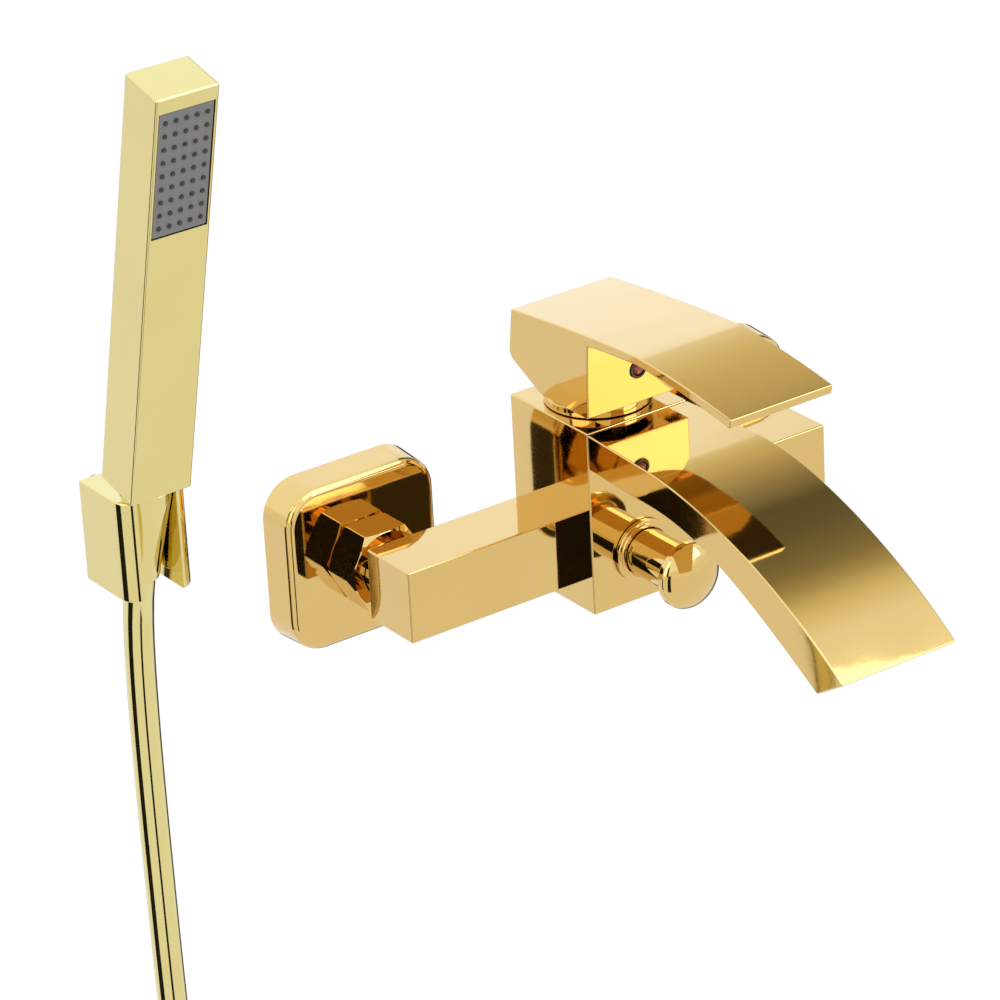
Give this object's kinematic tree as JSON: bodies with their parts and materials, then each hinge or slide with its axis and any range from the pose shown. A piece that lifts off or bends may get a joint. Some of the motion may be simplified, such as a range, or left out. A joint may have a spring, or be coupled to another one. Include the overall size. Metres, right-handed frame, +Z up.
{
  "type": "wall mounted bath faucet",
  "caption": "Wall-mounted bath mixer with a broad curved waterfall spout, flat lever, pull diverter, square cover plates and a stick hand shower on its bracket.",
  "frame": {"origin": "on the wall's surface, midway between the two inlets", "axes": "+Y into the wall, +X along the bar to the right as seen from the room, +Z up"},
  "size_m": [0.4055, 0.2148, 0.5483],
  "materials": {
    "gold": "polished gold plating",
    "raw_brass": "machined",
    "hose_metal": "polished gold-coloured spiral",
    "steel": "machined",
    "white_plastic": "moulded",
    "ceramic": "lapped ceramic",
    "rubber": "moulded",
    "fibre": "pressed fibre",
    "grey_plate": "satin",
    "dark_plastic": "moulded",
    "red_enamel": "glossy"
  },
  "bodies": {
    "mixer": {"mixer_body": "gold", "waterfall_spout": "gold", "flow_straightener": "white_plastic", "left_union": "raw_brass", "right_union": "raw_brass", "left_union_nut": "gold", "right_union_nut": "gold", "left_inlet_washer": "fibre", "right_inlet_washer": "fibre", "left_cover_plate": "gold", "right_cover_plate": "gold", "shower_outlet": "gold", "diverter_bonnet": "gold", "cartridge_gasket": "rubber", "cartridge_base": "white_plastic", "fixed_ceramic_disc": "ceramic", "cartridge_housing": "white_plastic", "cartridge_nut": "raw_brass", "cartridge_cap": "gold", "wall_bracket": "gold", "bracket_wall_plate": "steel", "upper_bracket_screw": "steel", "lower_bracket_screw": "steel"},
    "cartridge_turn": {"cartridge_carrier": "white_plastic", "stem_pin": "steel"},
    "lever": {"handle_lever": "gold", "cartridge_stem": "steel", "lever_grub_screw": "steel", "index_plug": "dark_plastic", "index_dot": "red_enamel"},
    "disc": {"moving_ceramic_disc": "ceramic"},
    "diverter": {"diverter_knob": "gold", "diverter_stem": "steel", "diverter_valve_disc": "rubber", "diverter_spring": "steel"},
    "hand_shower": {"shower_casing": "gold", "spray_plate": "grey_plate", "nozzle_mat": "rubber", "shower_inlet_thread": "raw_brass", "hose_top_washer": "rubber", "hose_cone_nut": "gold", "shower_hose": "hose_metal", "hose_coil": "hose_metal", "hose_tie": "dark_plastic", "hose_end_nut": "gold"}
  },
  "joints": [
    {"name": "lever_turn", "type": "hinge", "parent": "mixer", "child": "cartridge_turn", "pos_m": [0, -0.0461, 0.0455], "axis": [0, 0, 1], "range_deg": [-45, 45]},
    {"name": "lever_lift", "type": "hinge", "parent": "cartridge_turn", "child": "lever", "pos_m": [0, -0.0461, 0.0455], "axis": [-1, 0, 0], "range_deg": [0, 20]},
    {"name": "disc_slide", "type": "slide", "parent": "cartridge_turn", "child": "disc", "axis": [0, -1, 0], "range_m": [0, 0.0058]},
    {"name": "diverter_pull", "type": "slide", "parent": "mixer", "child": "diverter", "axis": [0, -1, 0], "range_m": [0, 0.006], "stiffness_N_per_m": 250, "springref_m": -0.004, "deforming": ["diverter_spring"]},
    {"name": "hand_shower_lift", "type": "slide", "parent": "mixer", "child": "hand_shower", "axis": [0, -0.2419, 0.9703], "range_m": [0, 0.08]}
  ],
  "couplings": [
    {"joint": "disc_slide", "follows": "lever_lift", "m_per_rad": 0.0165}
  ]
}
